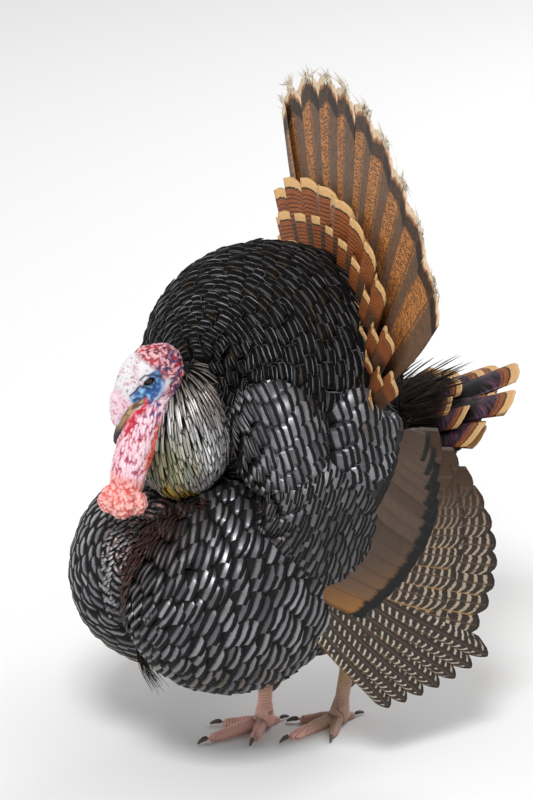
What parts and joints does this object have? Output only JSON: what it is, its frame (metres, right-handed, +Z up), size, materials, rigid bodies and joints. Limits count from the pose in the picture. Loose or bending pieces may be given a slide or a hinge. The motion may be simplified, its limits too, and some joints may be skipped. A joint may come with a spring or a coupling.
{
  "type": "wild turkey figure",
  "caption": "Life-size still wild turkey tom standing in full strut: puffed breast, lowered wings, raised back feathers and a spread tail fan that leans to its right.",
  "frame": {"origin": "on the floor, below the middle of the bird's bounding box", "axes": "+X to the bird's left, +Y to its rear so that it faces -Y, +Z up"},
  "size_m": [0.6736, 0.617, 0.7992],
  "materials": {
    "body_plumage": "glossy bronze-black feathers",
    "mantle_plumage": "near-black feathers with thin bright rims",
    "ruff_plumage": "narrow silvery feathers",
    "bronze_plumage": "bronze-brown feathers with black tips",
    "barred_quill": "dark quills with pale slanted bars",
    "tail_quill": "brown mottled quills with a dark band and buff tips",
    "tail_covert": "chestnut feathers with a black line and buff tips",
    "undertail_plumage": "dark feathers with chestnut and buff tips",
    "head_skin": "bare white and pale blue skin",
    "neck_skin": "bare pink wrinkled skin",
    "caruncle_skin": "moist coral-red skin",
    "eye": "wet dark brown",
    "beak_horn": "satin horn",
    "leg_scales": "pinkish scaled skin",
    "claw_horn": "dark horn"
  },
  "bodies": {
    "root": {"eye_left": "eye", "eye_right": "eye", "beak_upper": "beak_horn", "beak_lower": "beak_horn", "head": "head_skin", "snood": "neck_skin", "neck": "neck_skin", "caruncles": "caruncle_skin", "neck_ruff": "ruff_plumage", "mantle": "mantle_plumage", "rump": "mantle_plumage", "trunk": "body_plumage", "breast": "body_plumage", "shoulder_left": "body_plumage", "shoulder_right": "body_plumage", "scapulars_left": "body_plumage", "scapulars_right": "body_plumage", "forewing_left": "body_plumage", "forewing_right": "body_plumage", "thigh_left": "body_plumage", "thigh_right": "body_plumage", "wing_coverts_left": "bronze_plumage", "wing_coverts_right": "bronze_plumage", "secondaries_left": "barred_quill", "secondaries_right": "barred_quill", "primaries_left": "barred_quill", "primaries_right": "barred_quill", "tail_left": "tail_quill", "tail_right": "tail_quill", "tail_coverts_left": "tail_covert", "tail_coverts_right": "tail_covert", "undertail": "undertail_plumage", "beard": "claw_horn", "shank_left": "leg_scales", "shank_right": "leg_scales", "toe_middle_left": "leg_scales", "toe_middle_right": "leg_scales", "toe_inner_left": "leg_scales", "toe_inner_right": "leg_scales", "toe_outer_left": "leg_scales", "toe_outer_right": "leg_scales", "toe_hallux_left": "leg_scales", "toe_hallux_right": "leg_scales", "claw_middle_left": "claw_horn", "claw_middle_right": "claw_horn", "claw_inner_left": "claw_horn", "claw_inner_right": "claw_horn", "claw_outer_left": "claw_horn", "claw_outer_right": "claw_horn", "claw_hallux_left": "claw_horn", "claw_hallux_right": "claw_horn", "spur_left": "claw_horn", "spur_right": "claw_horn"}
  },
  "joints": []
}
